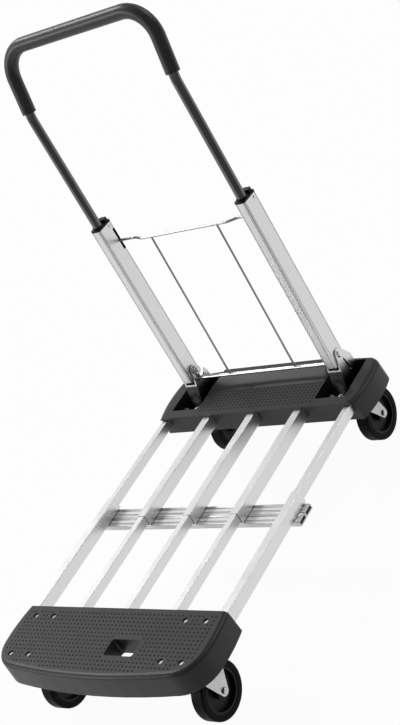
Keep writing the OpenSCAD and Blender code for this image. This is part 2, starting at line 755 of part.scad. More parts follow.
// Bolts with a domed head outside and a nut inside
module hinge_pivot_bolts() {
    end = inner_out + pivot_nut_t + pivot_tail;
    color(zinc) at_origin() for (s = [-1, 1]) sided(s)
        translate([sleeve_x, pivot[0], pivot[1]]) rotate([0, 90, 0]) {
            translate([0, 0, -end]) cylinder(d = pivot_d, h = end + cheek_out + 1);
            translate([0, 0, cheek_out]) cylinder(d1 = pivot_d + 5, d2 = pivot_d + 1, h = pivot_head_t);
            translate([0, 0, -inner_out - pivot_nut_t]) linear_extrude(pivot_nut_t) hexagon(pivot_d + 6);
        }
}

// Fixings that hold bracket, pocket floor and caster plate together

module rear_caster_bolts() {
    length = base_top - (caster_h - plate_t) + 8;
    color(zinc) at_origin() for (p = rear_caster_points) translate([p[0], p[1], caster_h - plate_t]) {
        translate([0, 0, -4]) linear_extrude(4) hexagon(9);
        cylinder(d = rear_bolt_d, h = length);
    }
}

module rear_caster_nuts() {
    color(zinc) at_origin() for (p = rear_caster_points) translate([p[0], p[1], base_top]) difference() {
        union() {
            rotate(30) linear_extrude(5) hexagon(10);
            cylinder(d = 8.5, h = 6.5);
        }
        translate([0, 0, -1]) cylinder(d = rear_bolt_d + 2 * fit, h = 9);
    }
}

// Swivel casters at the rear

race_z = caster_h - plate_t;
ball_z = race_z - 7;
ball_r = ball_d / 2;
crown_top = ball_z - 1;
crown_t = 6;
crown_bottom = crown_top - crown_t - 3.7;
pin_head_t = 4;
track_r = race_r - 7;

module race_groove() {
    translate([0, 0, ball_z]) rotate_extrude() translate([track_r, 0]) circle(ball_r + 0.1, $fn = 32);
}

// Top plate with the upper race and the riveted kingpin
module caster_plate(side) {
    color(zinc) at_origin() sided(side) translate([rear_caster_x, rear_pin_y, 0]) difference() {
        union() {
            translate([0, 0, race_z]) linear_extrude(plate_t) soft_rect(rear_bolt + 16, rear_bolt + 16, 6);
            difference() {
                translate([0, 0, ball_z + 1]) cylinder(r = race_r, h = race_z - ball_z - 1 + eps);
                race_groove();
            }
            translate([0, 0, crown_bottom - 0.3]) cylinder(d = kingpin_d, h = race_z - crown_bottom + 1);
            translate([0, 0, crown_bottom - 0.3 - pin_head_t]) cylinder(r = kingpin_d / 2 + 4, h = pin_head_t + eps);
        }
        for (x = [-1, 1], y = [-1, 1]) translate([x * rear_bolt / 2, y * rear_bolt / 2, race_z - 1])
            cylinder(d = rear_bolt_d + 2 * fit, h = plate_t + 2);
    }
}

module rear_left_caster_plate() caster_plate(-1);
module rear_right_caster_plate() caster_plate(1);

module rear_swivel_balls() {
    color(zinc) at_origin() for (s = [-1, 1], i = [0:ball_count - 1])
        translate([s * rear_caster_x, rear_pin_y, ball_z]) rotate([0, 0, 360 * i / ball_count])
            translate([track_r, 0, 0]) sphere(ball_r, $fn = 24);
}

module axle_bore(y) {
    translate([0, y, axle_z]) rotate([0, 90, 0]) cylinder(d = axle_d + 2 * fit, h = 3 * leg_out, center = true);
}

// Swivel fork: crown with the lower race and two raked legs
module swivel_fork(side) {
    tip = axle_d / 2 + 5;
    color(zinc) at_origin() sided(side) translate([rear_caster_x, rear_pin_y, 0]) difference() {
        union() {
            translate([0, 0, crown_bottom + 3.7]) cylinder(r = race_r, h = crown_t);
            slab(0, 2 * leg_out, -race_r + 6, race_r - 2, crown_bottom, crown_bottom + 3.8);
            for (s = [-1, 1]) upright(s > 0 ? leg_in : -leg_out, s > 0 ? leg_out : -leg_in)
                rounded([[-race_r + 10, crown_bottom + 0.3, 3.5], [trail, axle_z, tip], [race_r - 5.5, crown_bottom + 0.3, 3.5]]);
        }
        race_groove();
        translate([0, 0, crown_bottom - 1]) cylinder(d = kingpin_d + 2 * fit, h = 20);
        axle_bore(trail);
    }
}

module rear_left_fork() swivel_fork(-1);
module rear_right_fork() swivel_fork(1);

// Rigid fork at the front: plate and two triangular legs
module rigid_fork(side) {
    tip = axle_d / 2 + 5.4;
    foot = front_bolt_y / 2 - 6;
    color(zinc) at_origin() sided(side) translate([front_caster_x, -front_caster_y, 0]) difference() {
        union() {
            translate([0, 0, race_z]) linear_extrude(plate_t) soft_rect(front_bolt_x + 15, front_bolt_y + 16, 6);
            for (s = [-1, 1]) upright(s > 0 ? leg_in : -leg_out, s > 0 ? leg_out : -leg_in)
                rounded([[-foot, race_z - 3.5, 4], [-front_axle_shift, axle_z, tip], [foot, race_z - 3.5, 4]]);
        }
        for (x = [-1, 1], y = [-1, 1]) translate([x * front_bolt_x / 2, y * front_bolt_y / 2, race_z - 1])
            cylinder(d = front_screw_d + 2 * fit, h = plate_t + 2);
        axle_bore(-front_axle_shift);
    }
}

module front_left_fork() rigid_fork(-1);
module front_right_fork() rigid_fork(1);

// Axle bolt with a domed head outside and a nut inside
module axle(side, x, y) {
    head = axle_d + 4;
    color(zinc) at_origin() sided(side) translate([x, y, axle_z]) rotate([0, 90, 0]) {
        translate([0, 0, -leg_out - 6]) cylinder(d = axle_d, h = 2 * leg_out + 6 + eps);
        translate([0, 0, leg_out]) cylinder(d1 = head, d2 = head - 4, h = 2.5);
        translate([0, 0, -leg_out - 5]) linear_extrude(5) hexagon(axle_d + 4);
    }
}

module rear_left_axle() axle(-1, rear_caster_x, rear_pin_y + trail);
module rear_right_axle() axle(1, rear_caster_x, rear_pin_y + trail);
module front_left_axle() axle(-1, front_caster_x, front_axle_y);
module front_right_axle() axle(1, front_caster_x, front_axle_y);

// Wheels: a solid rubber tyre on a plastic hub

rim_r = wheel_d / 2 - tyre_t;
rim_t = 5;

module on_axle(side, x, y) at_origin() sided(side) translate([x, y, axle_z]) rotate([0, 90, 0]) children();

module tyre(side, x, y) {
    color(rubber) on_axle(side, x, y) rotate_extrude($fn = 96) difference() {
        union() {
            translate([rim_r, -tyre_w / 2]) square([tyre_t - tyre_round, tyre_w]);
            translate([rim_r, -tyre_w / 2 + tyre_round]) square([tyre_t, tyre_w - 2 * tyre_round]);
            for (s = [-1, 1]) translate([wheel_d / 2 - tyre_round, s * (tyre_w / 2 - tyre_round)]) circle(tyre_round);
        }
    }
}

module hub(side, x, y) {
    color(black) on_axle(side, x, y) rotate_extrude($fn = 96) {
        translate([axle_d / 2 + fit, -hub_w / 2]) square([boss_r - axle_d / 2 - fit, hub_w]);
        translate([boss_r - 1, -web_t / 2]) square([rim_r - rim_t - boss_r + 2, web_t]);
        translate([rim_r - rim_t, -tyre_w / 2 + 1]) square([rim_t, tyre_w - 2]);
    }
}

module rear_left_tyre() tyre(-1, rear_caster_x, rear_pin_y + trail);
module rear_left_hub() hub(-1, rear_caster_x, rear_pin_y + trail);
module rear_right_tyre() tyre(1, rear_caster_x, rear_pin_y + trail);
module rear_right_hub() hub(1, rear_caster_x, rear_pin_y + trail);
module front_left_tyre() tyre(-1, front_caster_x, front_axle_y);
module front_left_hub() hub(-1, front_caster_x, front_axle_y);
module front_right_tyre() tyre(1, front_caster_x, front_axle_y);
module front_right_hub() hub(1, front_caster_x, front_axle_y);

// Handle sleeves

groove = 0.9;
groove_inset = 3.75;
wire_slot_w = top_wire_d + 1;
wire_slot_low = 18.5;
wire_slot_high = 21.5;
collar_t = 3.5;
skirt_l = 16;
skirt_y = 5;
pin_d = 3.2;
pin_back = 17;
pin_down = 7;

// Middle of the sleeves
module sleeve_middle() translate([0, tube_ahead, 0]) children();

// Rectangular extrusion with a pair of grooves beside each corner
module sleeve_outline() {
    difference() {
        soft_rect(sleeve_w, sleeve_d, 2.5);
        soft_rect(bore_w, bore_d, 1.3);
        for (x = [-1, 1], y = [-1, 1]) {
            translate([x * (sleeve_w / 2 - groove_inset), y * sleeve_d / 2]) square(groove, center = true);
            translate([x * sleeve_w / 2, y * (sleeve_d / 2 - groove_inset)]) square(groove, center = true);
        }
    }
}

module sleeve(side) {
    notch_top = release_travel - bar_down + release_d / 2 + seat;
    color(aluminium) handle_frame() sided(side) translate([sleeve_x, 0, 0]) difference() {
        sleeve_middle() translate([0, 0, -sleeve_below]) linear_extrude(sleeve_len) sleeve_outline();
        translate([0, pivot_back, 0]) rotate([0, 90, 0])
            cylinder(d = pivot_d + 2 * fit, h = 2 * sleeve_w, center = true);
        translate([-sleeve_w / 2 - 3, wire_back - wire_slot_w / 2, wire_s - wire_slot_low])
            cube([6, wire_slot_w, wire_slot_low + release_travel + wire_slot_high]);
        translate([-sleeve_w / 2 - 3, bar_back - release_d / 2 - seat, -sleeve_below - 1])
            cube([6, release_d + 2 * seat, sleeve_below + 1 + notch_top]);
        translate([0, pin_back, sleeve_top - pin_down]) rotate([0, 90, 0])
            cylinder(d = pin_d + 2 * fit, h = 2 * sleeve_w, center = true);
    }
}

module left_sleeve() sleeve(-1);
module right_sleeve() sleeve(1);

// Guide collar: a cap with a round boss at the tube, a raised lobe behind it and a skirt inside the sleeve
module collar(side) {
    color(black) handle_frame() sided(side) translate([sleeve_x, 0, sleeve_top]) difference() {
        union() {
            sleeve_middle() linear_extrude(collar_t) soft_rect(sleeve_w + 2, sleeve_d + 2, 6);
            sleeve_middle() translate([0, 0, -skirt_l]) linear_extrude(skirt_l + eps) intersection() {
                soft_rect(bore_w - 2 * fit, bore_d - 2 * fit, 1.3);
                translate([-sleeve_w, skirt_y - tube_ahead]) square([2 * sleeve_w, sleeve_d]);
            }
            translate([0, 0, collar_t - eps]) cylinder(r = sleeve_w / 2, h = 2.5);
            translate([0, tube_ahead + sleeve_d / 2 - 8, collar_t - eps]) linear_extrude(7)
                soft_rect(sleeve_w - 3, 12, 4);
        }
        translate([0, 0, -skirt_l - 1]) cylinder(d = tube_d + 2 * fit, h = 40);
        translate([0, pin_back, -pin_down]) rotate([0, 90, 0])
            cylinder(d = pin_d + 2 * fit, h = 2 * sleeve_w, center = true);
    }
}

module left_collar() collar(-1);
module right_collar() collar(1);

// Cross pins, with a head on each side, that hold the collars
module collar_pins() {
    color(zinc) handle_frame() for (s = [-1, 1])
        translate([s * sleeve_x, pin_back, sleeve_top - pin_down]) rotate([0, 90, 0]) {
            cylinder(d = pin_d, h = sleeve_w + 0.2, center = true);
            for (e = [-1, 1]) translate([0, 0, e * (sleeve_w / 2 + 0.6)]) cylinder(d = 5.5, h = 1.2, center = true);
        }
}

// Plastic foot in the bottom of each sleeve, with the slot that guides the release bar
foot_w = bore_w - 2 * fit;
foot_d = bore_d - 2 * fit;
foot_up = leg_end - handle_glide_h - handle_travel - 2;

module handle_foot(side) {
    low = sleeve_below + 0.3;
    color(black) handle_frame() sided(side) translate([sleeve_x, 0, 0]) difference() {
        union() {
            sleeve_middle() translate([0, 0, -low]) linear_extrude(low + foot_up) soft_rect(foot_w, foot_d, 1.3);
            upright(-foot_w / 2, foot_w / 2)
                rounded([[bar_back - 7, -bar_down - 2, 4], [bar_back + 7, -bar_down - 2, 4],
                    [bar_back + 7, -low + 6, 4], [bar_back - 7, -low + 6, 4]]);
        }
        translate([0, pivot_back, 0]) rotate([0, 90, 0])
            cylinder(d = pivot_d + 2 * fit, h = 2 * sleeve_w, center = true);
        upright(-foot_w, foot_w) {
            for (z = [-bar_down, -bar_down + release_travel]) translate([bar_back, z]) circle(release_d / 2 + fit);
            translate([bar_back - release_d / 2 - fit, -bar_down]) square([release_d + 2 * fit, release_travel]);
        }
    }
}

module left_handle_foot() handle_foot(-1);
module right_handle_foot() handle_foot(1);

// Release bar and the wire grid that lifts it

module release_bar() {
    color(chrome) handle_frame() translate([0, bar_back, -bar_down]) rotate([0, 90, 0])
        cylinder(d = release_d, h = 2 * sleeve_x + foot_w - 1, center = true);
}

// Cross-section of a rod, or of a tube where wall > 0. Bends are drawn larger by swell, so
// that the straight lengths run into them by lap.
lap = 0.2;
swell = 0.05;
foam_gap = 0.15;

module rod_section(r, wall = 0, grow = 0) {
    difference() {
        circle(r + grow, $fn = 32);
        if (wall > 0) circle(r - wall - grow, $fn = 32);
    }
}

// The top wire steps forward and down at each end through two equal arcs
step_r = 40;
step_a = acos(1 - wire_drop / (2 * step_r));
step_l = 2 * step_r * sin(step_a);
step_x = 98;
step_lap = 0.3;

module grid_wires() {
    end_x = sleeve_x - sleeve_w / 2 + 3.5;
    r = top_wire_d / 2;
    color(chrome) handle_frame() difference() {
        union() {
            translate([0, wire_back, wire_s]) rotate([-step_tilt, 0, 0]) {
                translate([0, 0, -wire_drop]) rotate([0, 90, 0]) cylinder(r = r, h = 2 * (step_x + lap), center = true);
                for (s = [-1, 1]) sided(s) {
                    translate([step_x + step_l - lap, 0, 0]) rotate([0, 90, 0])
                        cylinder(r = r, h = end_x - step_x - step_l + lap);
                    translate([step_x, 0, step_r - wire_drop]) rotate([90, 0, 0]) rotate([0, 0, -90])
                        rotate_extrude(angle = step_a + step_lap, $fn = 96)
                            translate([step_r, 0]) rod_section(r, 0, swell);
                    translate([step_x + step_l, 0, -step_r]) rotate([90, 0, 0]) rotate([0, 0, 90])
                        rotate_extrude(angle = step_a, $fn = 96)
                            translate([step_r, 0]) rod_section(r, 0, 2 * swell);
                }
            }
            for (s = [-1, 1])
                upright_wire(s * wire_x, wire_back - wire_drop * sin(step_tilt), wire_s - wire_drop * cos(step_tilt));
        }
        translate([0, bar_back, -bar_down]) rotate([0, 90, 0]) cylinder(d = release_d, h = 2 * sleeve_x, center = true);
    }
}

// Upright wire from the release bar to the top wire at y = back and z = top
module upright_wire(x, back, top) {
    rise = top + bar_down;
    translate([x, bar_back, -bar_down]) rotate([atan2(bar_back - back, rise), 0, 0])
        cylinder(d = wire_d, h = norm([rise, back - bar_back]));
}

// Push handle

bend_r = 60;
bend_cut = bend_r * tan(bend_angle / 2);

// The handle above its bend: two uprights, two corners and the top bar, from a given start
module handle_upper(r, wall, from) {
    reach = top_len - corner_r;
    translate([0, 0, bend_s]) rotate([-bend_angle, 0, 0]) {
        for (s = [-1, 1]) {
            translate([s * sleeve_x, 0, from]) linear_extrude(reach + lap - from) rod_section(r, wall);
            translate([s * (sleeve_x - corner_r), 0, reach]) sided(s) rotate([90, 0, 0])
                rotate_extrude(angle = 90, $fn = 64) translate([corner_r, 0]) rod_section(r, wall, swell);
        }
        translate([0, 0, top_len]) rotate([0, 90, 0])
            linear_extrude(2 * (sleeve_x - corner_r + lap), center = true) rod_section(r, wall);
    }
}

// The handle's two legs, from a given start, with the bend at their upper ends
module handle_legs(r, wall, from) {
    for (s = [-1, 1]) {
        translate([s * sleeve_x, 0, from]) linear_extrude(bend_s - bend_cut + lap - from) rod_section(r, wall);
        translate([s * sleeve_x, bend_r, bend_s - bend_cut]) rotate([90, 0, -90])
            rotate_extrude(angle = bend_angle, $fn = 96) translate([bend_r, 0]) rod_section(r, wall, swell);
    }
}

module push_handle_tube() {
    color(chrome) handle_frame() {
        handle_legs(tube_d / 2, handle_wall, leg_end);
        handle_upper(tube_d / 2, handle_wall, bend_cut - lap);
    }
}

module foam_grip() {
    color(rubber) handle_frame() handle_upper(grip_d / 2, grip_d / 2 - tube_d / 2 - foam_gap, grip_start);
}

// Glides on the lower ends of the push handle, which run inside the sleeves
module push_handle_glides() {
    color(black) handle_frame() for (s = [-1, 1]) translate([s * sleeve_x, 0, leg_end]) {
        translate([0, tube_ahead, -handle_glide_h]) linear_extrude(handle_glide_h)
            soft_rect(bore_w - 2 * seat, bore_d - 2 * seat, 1.3);
        cylinder(d = tube_d - 2 * handle_wall - 2 * fit, h = 12);
    }
}

rear_housing();
rear_left_tube();
rear_centre_tube();
rear_right_tube();
rear_outer_left_tube();
rear_outer_right_tube();
rear_tube_glides();
rear_cross_bar();
rear_cross_bar_caps();
rear_cross_bar_rivets();
rear_tube_screws();
left_hinge_bracket();
right_hinge_bracket();
hinge_pivot_bolts();
rear_caster_bolts();
rear_caster_nuts();
rear_left_caster_plate();
rear_right_caster_plate();
rear_swivel_balls();
rear_left_fork();
rear_right_fork();
rear_left_axle();
rear_right_axle();
rear_left_tyre();
rear_left_hub();
rear_right_tyre();
rear_right_hub();
front_housing();
front_outer_left_tube();
front_outer_right_tube();
front_left_tube();
front_centre_tube();
front_right_tube();
front_tube_glides();
front_cross_bar();
front_cross_bar_caps();
front_cross_bar_rivets();
front_tube_screws();
front_left_fork();
front_right_fork();
front_left_axle();
front_right_axle();
front_caster_screws();
front_caster_nuts();
front_left_tyre();
front_left_hub();
front_right_tyre();
front_right_hub();
left_sleeve();
right_sleeve();
left_collar();
right_collar();
collar_pins();
left_handle_foot();
right_handle_foot();
release_bar();
grid_wires();
push_handle_tube();
foam_grip();
push_handle_glides();
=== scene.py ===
import json
import math
import bmesh
import bpy
from mathutils import Matrix, Vector


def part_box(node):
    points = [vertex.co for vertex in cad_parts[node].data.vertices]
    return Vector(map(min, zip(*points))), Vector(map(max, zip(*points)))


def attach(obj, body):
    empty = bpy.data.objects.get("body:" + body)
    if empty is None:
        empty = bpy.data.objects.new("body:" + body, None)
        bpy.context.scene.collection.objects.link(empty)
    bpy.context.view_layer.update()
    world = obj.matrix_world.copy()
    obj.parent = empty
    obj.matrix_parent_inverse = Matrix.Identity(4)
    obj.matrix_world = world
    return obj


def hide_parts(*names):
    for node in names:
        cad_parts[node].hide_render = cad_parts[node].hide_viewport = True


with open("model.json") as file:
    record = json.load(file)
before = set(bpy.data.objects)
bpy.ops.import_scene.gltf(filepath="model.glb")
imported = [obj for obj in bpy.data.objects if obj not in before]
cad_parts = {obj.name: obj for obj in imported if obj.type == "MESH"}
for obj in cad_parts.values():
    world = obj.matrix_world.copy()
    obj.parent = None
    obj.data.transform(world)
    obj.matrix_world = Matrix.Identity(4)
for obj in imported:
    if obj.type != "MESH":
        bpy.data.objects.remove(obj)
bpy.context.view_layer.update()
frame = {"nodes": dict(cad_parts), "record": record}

# Lengths are in metres. Z is up, the floor is z = 0 and the handle end is at +Y.

nodes = frame["nodes"]
scene = bpy.context.scene

# Shader helpers

CREVICE_SAMPLES = 8
CREVICE_RANGE = (0.35, 0.85)


def grey(shade, blue=1.0):
    """A neutral colour with its blue share multiplied by blue."""
    return shade, shade, shade * blue


def finish(name, colour, metallic=0.0, roughness=0.5, specular=0.5):
    """A named finish with its plain values on the shader."""
    mat = bpy.data.materials.new(name)
    mat.use_nodes = True
    shader = mat.node_tree.nodes["Principled BSDF"]
    shader.inputs["Base Color"].default_value = (*colour, 1)
    shader.inputs["Metallic"].default_value = metallic
    shader.inputs["Roughness"].default_value = roughness
    shader.inputs["Specular IOR Level"].default_value = specular
    return mat, mat.node_tree, shader


def add(tree, kind, **values):
    """A node with its properties and socket values set by name."""
    node = tree.nodes.new(kind)
    for key, value in values.items():
        if hasattr(node, key):
            setattr(node, key, value)
        else:
            node.inputs[key.replace("_", " ")].default_value = value
    return node


def mapped(tree, scale=(1, 1, 1), turn=(0, 0, 0)):
    """Object coordinates through a Mapping node."""
    coord = tree.nodes.new("ShaderNodeTexCoord")
    mapping = add(tree, "ShaderNodeMapping", Scale=scale, Rotation=turn)
    tree.links.new(coord.outputs["Object"], mapping.inputs["Vector"])
    return mapping.outputs["Vector"]


def split(tree, kind):
    """The x, y and z of one of the texture coordinates."""
    coord = tree.nodes.new("ShaderNodeTexCoord")
    parts = tree.nodes.new("ShaderNodeSeparateXYZ")
    tree.links.new(coord.outputs[kind], parts.inputs[0])
    return parts.outputs


def reach_towards(tree, kind, direction):
    """How far one of the texture coordinates reaches in a direction."""
    coord = tree.nodes.new("ShaderNodeTexCoord")
    dot = tree.nodes.new("ShaderNodeVectorMath")
    dot.operation = "DOT_PRODUCT"
    dot.inputs[1].default_value = direction
    tree.links.new(coord.outputs[kind], dot.inputs[0])
    return dot.outputs["Value"]


def noise(tree, vector, size, detail=4.0, rough=0.5):
    """Noise whose features are about size wide."""
    node = add(tree, "ShaderNodeTexNoise", Scale=1 / size, Detail=detail, Roughness=rough)
    tree.links.new(vector, node.inputs["Vector"])
    return node.outputs["Fac"]


def ramp(tree, factor, low, high, a, b):
    """Factor from low..high spread over a..b."""
    node = add(tree, "ShaderNodeMapRange", From_Min=low, From_Max=high, To_Min=a, To_Max=b)
    tree.links.new(factor, node.inputs["Value"])
    return node.outputs["Result"]


def tinted(tree, factor, dark, light):
    """Colour between dark and light."""
    node = add(tree, "ShaderNodeMix", data_type="RGBA")
    node.inputs["A"].default_value = (*dark, 1)
    node.inputs["B"].default_value = (*light, 1)
    tree.links.new(factor, node.inputs["Factor"])
    return node.outputs["Result"]


def bump(tree, shader, height, strength, depth):
    """Relief of the given depth on the shader."""
    node = add(tree, "ShaderNodeBump", Strength=strength, Distance=depth)
    tree.links.new(height, node.inputs["Height"])
    tree.links.new(node.outputs["Normal"], shader.inputs["Normal"])


def maths(tree, kind, a, b=0.0, c=0.0):
    """One sum of numbers or sockets."""
    node = tree.nodes.new("ShaderNodeMath")
    node.operation = kind
    for socket, value in zip(node.inputs, (a, b, c)):
        if isinstance(value, (int, float)):
            socket.default_value = value
        else:
            tree.links.new(value, socket)
    return node.outputs[0]


def crevice_shade(tree, reach, dark, alone=True):
    """Painted shade: 1 on open faces, dark in grooves and corners and, unless alone, beside
    other pieces.
    """
    node = tree.nodes.new("ShaderNodeAmbientOcclusion")
    node.only_local = alone
    node.samples = CREVICE_SAMPLES
    node.inputs["Distance"].default_value = reach
    return ramp(tree, node.outputs["AO"], *CREVICE_RANGE, dark, 1)


def times(tree, colour, factor):
    """Colour darkened by a factor."""
    node = tree.nodes.new("ShaderNodeVectorMath")
    node.operation = "SCALE"
    tree.links.new(colour, node.inputs[0])
    tree.links.new(factor, node.inputs["Scale"])
    return node.outputs[0]


# Finishes

PLASTIC_TONE = (0.3, 0.85)
METAL_TONE = (0.35, 0.65)
# How far the painted shade reaches in the plastic's hollows and in the metal's grooves
HOLLOW_REACH = 0.03
GROOVE_SHADE_REACH = 0.004


def moulded(name, shade, rough, specular, hollow=0.0):
    """Moulded plastic: spark-eroded grain, slow changes of shade, faint scuff marks and, where
    hollow is given, painted shade in its hollows and corners.
    """
    mat, tree, shader = finish(name, grey(shade), roughness=rough, specular=specular)
    place = mapped(tree)
    cloud = noise(tree, place, size=0.09, detail=3)
    rub_and_glint = noise(tree, mapped(tree, scale=(1, 0.25, 1)), size=0.012, detail=5, rough=0.7)
    tone = maths(tree, "MULTIPLY_ADD", ramp(tree, rub_and_glint, 0.62, 0.8, 0, 1), 0.25, cloud)
    colour = tinted(tree, ramp(tree, tone, *PLASTIC_TONE, 0, 1),
                    grey(shade * 0.9), grey(shade * 1.16, blue=1.01))
    # Painted shade: the colour darkens in the piece's hollows and corners by the share hollow.
    if hollow:
        colour = times(tree, colour, crevice_shade(tree, HOLLOW_REACH, 1 - hollow))
    tree.links.new(colour, shader.inputs["Base Color"])
    tree.links.new(ramp(tree, tone, *PLASTIC_TONE, rough - 0.04, rough + 0.07),
                   shader.inputs["Roughness"])
    bump(tree, shader, noise(tree, place, size=0.0008, detail=3), strength=0.3, depth=0.00015)
    return mat


def rubber_finish():
    """Tyre rubber: matt, with fine grain and a trace of floor dust."""
    mat, tree, shader = finish("tyre_rubber", grey(0.004), roughness=0.55, specular=0.06)
    place = mapped(tree)
    dust = ramp(tree, noise(tree, place, size=0.025, detail=6, rough=0.65), 0.5, 0.8, 0, 1)
    tree.links.new(tinted(tree, dust, grey(0.003), (0.008, 0.0077, 0.0074)),
                   shader.inputs["Base Color"])
    tree.links.new(ramp(tree, dust, 0, 1, 0.46, 0.72), shader.inputs["Roughness"])
    bump(tree, shader, noise(tree, place, size=0.0012, detail=3), strength=0.25, depth=0.0002)
    return mat


def foam_finish():
    """Closed-cell foam: small cells under a thin skin."""
    mat, tree, shader = finish("foam_grip", grey(0.007), roughness=0.4)
    place = mapped(tree)
    cells = add(tree, "ShaderNodeTexVoronoi", Scale=1 / 0.0013)
    tree.links.new(place, cells.inputs["Vector"])
    patch = ramp(tree, noise(tree, place, size=0.03), 0.3, 0.7, 0, 1)
    tree.links.new(tinted(tree, patch, grey(0.011), grey(0.017)), shader.inputs["Base Color"])
    bump(tree, shader, cells.outputs["Distance"], strength=0.2, depth=0.0002)
    return mat


def drawn_metal(name, shade, rough, stretch=(1, 1, 1), turn=(0, 0, 0), metallic=1.0,
                line=0.0007, spread=0.05, groove_shade=0.0, relief=0.02, alone=True):
    """Bare or plated metal: fine lines along the piece, cloudy haze, painted shade in its
    grooves and, unless alone, beside other pieces.
    """
    mat, tree, shader = finish(name, grey(shade), metallic=metallic, roughness=rough)
    lines = noise(tree, mapped(tree, stretch, turn), line, detail=3)
    haze = noise(tree, mapped(tree), size=0.05, detail=5, rough=0.6)
    tone = maths(tree, "MULTIPLY_ADD", lines, 0.5, maths(tree, "MULTIPLY", haze, 0.5))
    colour = tinted(tree, ramp(tree, tone, *METAL_TONE, 0, 1),
                    grey(shade * (1 - spread), blue=1.01), grey(shade, blue=1.005))
    # Painted shade: darker in grooves and, unless alone, where other pieces stand close.
    if groove_shade:
        colour = times(tree, colour, crevice_shade(tree, GROOVE_SHADE_REACH, 1 - groove_shade, alone))
    tree.links.new(colour, shader.inputs["Base Color"])
    tree.links.new(ramp(tree, tone, *METAL_TONE, rough - 0.03, rough + 0.05),
                   shader.inputs["Roughness"])
    bump(tree, shader, lines, relief, depth=0.00005)
    return mat


# Seat of the right hinge bracket's foot bolt
FOOT_BOLT = (0.1748, 0.2886, 0.1365)
# Height of the painted highlight beside it
GLINT_HEIGHT = 0.146
# Heights between which the brackets' painted pocket shade gives way to the bright plate
POCKET_SHADE_RANGE = (0.166, 0.192)
# Heights above which the painted dark reflection on the slanted web stops, leaving its upper
# edge bright
EDGE_RANGE = (0.1815, 0.1825)


def bracket_finish():
    """Hinge bracket: bright above the pocket's rim, with painted shade below it, a painted dark
    reflection on its forward faces and a painted highlight beside each foot bolt.
    """
    mat, tree, shader = finish("bracket_zinc", grey(0.7), metallic=1.0, roughness=0.3)
    place = split(tree, "Object")
    facing = split(tree, "Normal")
    haze = noise(tree, mapped(tree), size=0.012, detail=4, rough=0.6)
    # Painted shade: the plate darkens below the pocket's rim, along a ragged line.
    level = maths(tree, "MULTIPLY_ADD", haze, 0.012, place["Z"])
    low = ramp(tree, level, *POCKET_SHADE_RANGE, 0.05, 1)
    # Painted reflection: faces turned forward are darkened as if mirroring the black pocket,
    # except above the web's upper edge.
    front = ramp(tree, facing["Y"], -0.6, -0.3, 0.08, 1)
    front = maths(tree, "MAXIMUM", front, ramp(tree, place["Z"], *EDGE_RANGE, 0, 1))
    # Painted highlight: a tall lighter patch at each foot bolt's side, lifting the dark shade
    # there.
    apart = tree.nodes.new("ShaderNodeCombineXYZ")
    across = maths(tree, "SUBTRACT", maths(tree, "ABSOLUTE", place["X"]), FOOT_BOLT[0])
    above = maths(tree, "SUBTRACT", place["Z"], GLINT_HEIGHT)
    tree.links.new(across, apart.inputs[0])
    tree.links.new(maths(tree, "MULTIPLY", above, 0.6), apart.inputs[2])
    glint_distance = tree.nodes.new("ShaderNodeVectorMath")
    glint_distance.operation = "LENGTH"
    tree.links.new(apart.outputs[0], glint_distance.inputs[0])
    rub_and_glint = ramp(tree, glint_distance.outputs["Value"], 0.003, 0.013, 0.45, 0)
    shade = maths(tree, "MAXIMUM", maths(tree, "MINIMUM", low, front), rub_and_glint)
    plate = tinted(tree, haze, (0.62, 0.62, 0.63), grey(0.76))
    tree.links.new(times(tree, plate, shade), shader.inputs["Base Color"])
    tree.links.new(ramp(tree, haze, 0.3, 0.7, 0.24, 0.38), shader.inputs["Roughness"])
    return mat


def head_finish():
    """Axle head: bright end face, with painted shade on its rim and shank."""
    mat, tree, shader = finish("axle_head_zinc", grey(0.8), metallic=0.8, roughness=0.25)
    # Painted shade: faces not turned along the axle go nearly black.
    side_on = maths(tree, "ABSOLUTE", split(tree, "Normal")["X"])
    rim = ramp(tree, side_on, 0.25, 0.6, 0.02, 1)
    plate = tinted(tree, noise(tree, mapped(tree), size=0.004), grey(0.48), grey(0.62))
    tree.links.new(times(tree, plate, rim), shader.inputs["Base Color"])
    haze = noise(tree, mapped(tree), size=0.003)
    tree.links.new(ramp(tree, haze, 0.3, 0.7, 0.2, 0.34), shader.inputs["Roughness"])
    return mat


# Backward lean of the sleeves, which their drawing lines follow
LEAN = math.radians(2.75)

# The deck plastic carries painted shade in its hollows and corners.
deck_plastic = moulded("moulded_deck_plastic", 0.028, rough=0.38, specular=0.25, hollow=0.75)
# Painted shade: the pips are the deck's own plastic made darker, so they show as dark dots.
shaded_pip_plastic = moulded("moulded_grip_pips", 0.007, rough=0.5, specular=0.15)
nylon = moulded("black_nylon", 0.007, rough=0.4, specular=0.2)
hub_plastic = moulded("black_hub_plastic", 0.004, rough=0.42, specular=0.15)
tyre_rubber = rubber_finish()
grip_foam = foam_finish()
